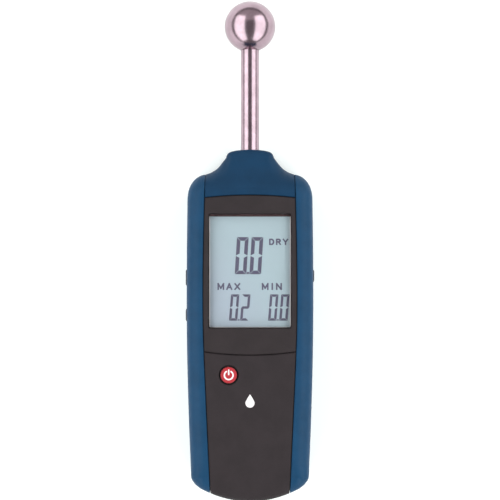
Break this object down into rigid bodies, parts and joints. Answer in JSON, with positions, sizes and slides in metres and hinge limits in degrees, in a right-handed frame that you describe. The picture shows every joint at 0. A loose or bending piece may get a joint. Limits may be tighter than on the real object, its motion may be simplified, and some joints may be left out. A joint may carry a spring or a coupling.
{
  "type": "moisture meter",
  "caption": "Hand-held ball-head moisture meter with display, red power button, side keys, blue grips and a slide-off battery door.",
  "frame": {"origin": "middle of the overall length and width, on the flat back that the meter lies on", "axes": "+X across the case, +Y along it towards the sensor ball, +Z out of the display"},
  "size_m": [0.0604, 0.235, 0.0284],
  "materials": {
    "blue_grip": "satin soft-touch blue",
    "blue_head": "satin moulded blue",
    "charcoal_case": "fine-textured charcoal",
    "charcoal_panel": "smooth charcoal",
    "clear_lens": "clear, flush",
    "lcd_face": "pale grey-blue reflective display",
    "white_plastic": "white moulded",
    "black_rubber": "black rubber and foam",
    "zinc_steel": "zinc plated",
    "polished_steel": "fine satin-polished",
    "nylon": "natural nylon",
    "tag_brass": "tinned brass",
    "coil_copper": "lacquered copper wire",
    "red_insulation": "red wire insulation",
    "black_insulation": "black wire insulation",
    "red_button": "satin red",
    "key_rubber": "dark rubber",
    "black_plastic": "black moulded",
    "board_green": "green solder mask",
    "battery_jacket": "dark lacquered jacket"
  },
  "bodies": {
    "meter": {"left_grip": "blue_grip", "right_grip": "blue_grip", "head_shell": "blue_head", "front_case": "charcoal_case", "rear_case": "charcoal_case", "display_panel": "charcoal_panel", "display_lens": "clear_lens", "lcd_glass": "lcd_face", "lcd_holder": "white_plastic", "lcd_backlight": "white_plastic", "lower_connector_strip": "black_rubber", "upper_connector_strip": "black_rubber", "rod_o_ring": "black_rubber", "battery_snap": "black_rubber", "case_screw_1": "zinc_steel", "board_screw_1": "zinc_steel", "case_screw_2": "zinc_steel", "board_screw_2": "zinc_steel", "case_screw_3": "zinc_steel", "board_screw_3": "zinc_steel", "case_screw_4": "zinc_steel", "board_screw_4": "zinc_steel", "sensor_ball": "polished_steel", "sensor_rod": "polished_steel", "rod_bush": "nylon", "rod_washer": "zinc_steel", "rod_nut": "zinc_steel", "oscillator_shield": "zinc_steel", "crystal": "zinc_steel", "battery_positive_terminal": "zinc_steel", "battery_negative_terminal": "zinc_steel", "sensor_tag": "tag_brass", "tuning_coil": "coil_copper", "sensor_wire": "red_insulation", "red_battery_lead": "red_insulation", "black_battery_lead": "black_insulation", "power_switch": "black_plastic", "left_upper_switch": "black_plastic", "left_lower_switch": "black_plastic", "right_switch": "black_plastic", "processor_chip": "black_plastic", "capacitor": "black_plastic", "buzzer": "black_plastic", "main_board": "board_green", "battery": "battery_jacket"},
    "power_control": {"power_button": "red_button", "power_switch_plunger": "white_plastic"},
    "left_upper_control": {"left_upper_key": "key_rubber", "left_upper_plunger": "white_plastic"},
    "left_lower_control": {"left_lower_key": "key_rubber", "left_lower_plunger": "white_plastic"},
    "right_control": {"right_key": "key_rubber", "right_plunger": "white_plastic"},
    "door": {"battery_door": "charcoal_case", "door_foam": "black_rubber"}
  },
  "joints": [
    {"name": "power_press", "type": "slide", "parent": "meter", "child": "power_control", "axis": [0, 0, -1], "range_m": [0, 0.0006], "stiffness_N_per_m": 2500},
    {"name": "left_upper_press", "type": "slide", "parent": "meter", "child": "left_upper_control", "axis": [1, 0, 0], "range_m": [0, 0.0005], "stiffness_N_per_m": 2500},
    {"name": "left_lower_press", "type": "slide", "parent": "meter", "child": "left_lower_control", "axis": [1, 0, 0], "range_m": [0, 0.0005], "stiffness_N_per_m": 2500},
    {"name": "right_press", "type": "slide", "parent": "meter", "child": "right_control", "axis": [-1, 0, 0], "range_m": [0, 0.0005], "stiffness_N_per_m": 2500},
    {"name": "door_slide", "type": "slide", "parent": "meter", "child": "door", "axis": [0, -1, 0], "range_m": [0, 0.062]}
  ]
}
